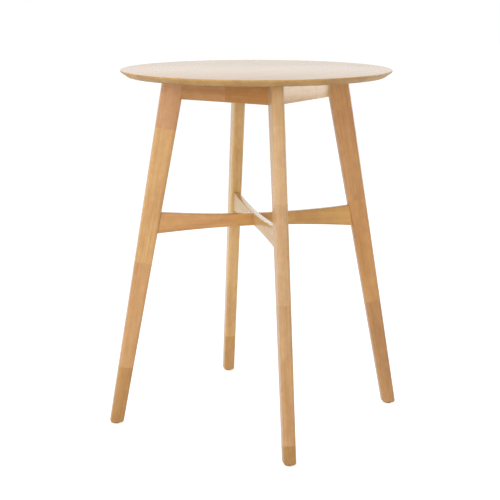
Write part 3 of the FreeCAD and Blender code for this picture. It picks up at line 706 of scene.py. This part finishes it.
def dressRest():
    untinted = (1, 1, 1)
    span = (-rest["blockReach"], rest["blockReach"])
    for corner, turn in cornerTurns.items():
        angle = math.radians(turn)
        acrossLeg = grainAlong((-math.sin(angle), math.cos(angle), 0))
        blocks = [(span[0], untinted, turn / 360)]
        material = woodFinish(f"blockWood{corner.capitalize()}", acrossLeg, span, blocks, rest["look"])
        dress(f"corner_block_{corner}", material)
    span = (-rest["dowelReach"], rest["dowelReach"])
    blocks = [(span[0], untinted, rest["dowelShift"])]
    dress("stretcher_dowels", woodFinish("dowelWood", grainAlong((1, 1, 0)), span, blocks, rest["look"]))
    zincMaterial = zincFinish("zincPlate")
    for node in ("hanger_bolts", "hanger_washers", "hanger_nuts", "corner_block_screws", "halving_screw",
                 "bracket_apron_screws", "bracket_top_screws", "glide_nails"):
        dress(node, zincMaterial)
    glideMaterial = glideFinish("glidePlastic")
    for corner in cornerTurns:
        dress(f"foot_glide_{corner}", glideMaterial)
        dress(f"top_bracket_{corner}", zincMaterial)
    print("hardware dressed")


dressRest()


# studio: white floor and background, soft boxes and the camera
studio = {
    "floorSize": 40.0,
    "floorColour": grey(0.80),
    "floorGlow": 0.56,  # added to the lit floor for the camera alone
    "mirrorGlow": 0.40,  # and for mirror images
    "ambient": 0.62,  # strength of the sky's light on the table
}


def makeFloor():
    clearSelection()
    bpy.ops.mesh.primitive_plane_add(size=studio["floorSize"], location=(0, 0, 0))
    floor = bpy.context.object
    floor.name = "studio_floor"
    board = NodeBoard(bpy.data.materials.new("studioFloor"))
    paint = board.add("BsdfDiffuse")
    paint.inputs["Color"].default_value = studio["floorColour"]
    glow = board.add("Emission")
    seen, mirrored = board.straightRays()
    mirrorGlow = board.sums("MULTIPLY", mirrored, studio["mirrorGlow"])
    board.wire(board.sums("MULTIPLY_ADD", seen, studio["floorGlow"], mirrorGlow), glow.inputs["Strength"])
    both = board.add("AddShader")
    board.wire(paint.outputs[0], both.inputs[0])
    board.wire(glow.outputs[0], both.inputs[1])
    board.wire(both.outputs[0], board.add("OutputMaterial").inputs["Surface"])
    floor.data.materials.append(board.owner)


def makeSky():
    world = bpy.data.worlds.new("studioSky")
    bpy.context.scene.world = world
    board = NodeBoard(world)
    sky = board.add("Background")
    sky.inputs["Color"].default_value = grey(1.0)
    straight = board.sums("MAXIMUM", *board.straightRays())
    strength = board.sums("MULTIPLY_ADD", straight, 1.0 - studio["ambient"], studio["ambient"])
    board.wire(strength, sky.inputs["Strength"])
    board.wire(sky.outputs[0], board.add("OutputWorld").inputs["Surface"])


# soft boxes: place, point aimed at, size, power in watts, and the finishes that they light. Those in front
# light matt finishes alone, because their images would bleach the polished top when seen from behind.
# edgeBox stands below the plane of the top, and only its image shows, in the bars' upper edges
lamps = {
    "keyBox": {"place": (0.5, -3.6, 2.0), "aim": (0, 0, 0.6), "size": (2.0, 1.6), "power": 36.0,
               "lights": "matt"},
    "frontBox": {"place": (2.1, -3.55, 1.05), "aim": (0, 0, 0.7), "size": (3.0, 1.9), "power": 62.0,
                 "lights": "matt"},
    "leftBox": {"place": (-3.2, -1.6, 2.0), "aim": (0, 0, 0.6), "size": (2.0, 2.0), "power": 45.0,
                "lights": "matt"},
    "backBox": {"place": (1.9, 3.0, 0.95), "aim": (0, 0, 1.0), "size": (1.3, 1.2), "power": 28.0,
                "lights": "both"},
    "rearBox": {"place": (-2.7, 4.2, 2.8), "aim": (0, 0, 2.8), "size": (2.6, 3.1), "power": 7.6,
                "lights": "both"},
    "edgeBox": {"place": (-0.71, 1.21, 0.84), "aim": (0.1, -0.1, 0.65), "size": (0.5, 0.26), "power": 0.34,
                "lights": "gloss"},
}


def makeLamps():
    for name, lamp in lamps.items():
        clearSelection()
        bpy.ops.object.light_add(type="AREA", location=lamp["place"])
        light = bpy.context.object
        light.name = name
        light.data.shape = "RECTANGLE"
        light.data.size, light.data.size_y = lamp["size"]
        light.data.energy = lamp["power"]
        direction = Vector(lamp["aim"]) - Vector(lamp["place"])
        light.rotation_euler = direction.to_track_quat("-Z", "Y").to_euler()
        light.visible_camera = False
        light.visible_diffuse = lamp["lights"] != "gloss"
        light.visible_glossy = lamp["lights"] != "matt"


camera = {
    "place": (1.95925, -3.07911, 1.34030),
    "turn": (77.3575, -0.0589, 32.7622),
    "lens": 88.29,
    "sensor": 36.0,
    "farLimit": 200,
}


def makeCamera():
    clearSelection()
    turn = [math.radians(part) for part in camera["turn"]]
    bpy.ops.object.camera_add(location=camera["place"], rotation=turn)
    eye = bpy.context.object
    eye.data.lens = camera["lens"]
    eye.data.sensor_width = camera["sensor"]
    eye.data.sensor_fit = "HORIZONTAL"
    eye.data.clip_end = camera["farLimit"]
    bpy.context.scene.camera = eye


makeFloor()
makeSky()
makeLamps()
makeCamera()
bpy.context.scene.view_settings.view_transform = "Standard"
print("studio ready")
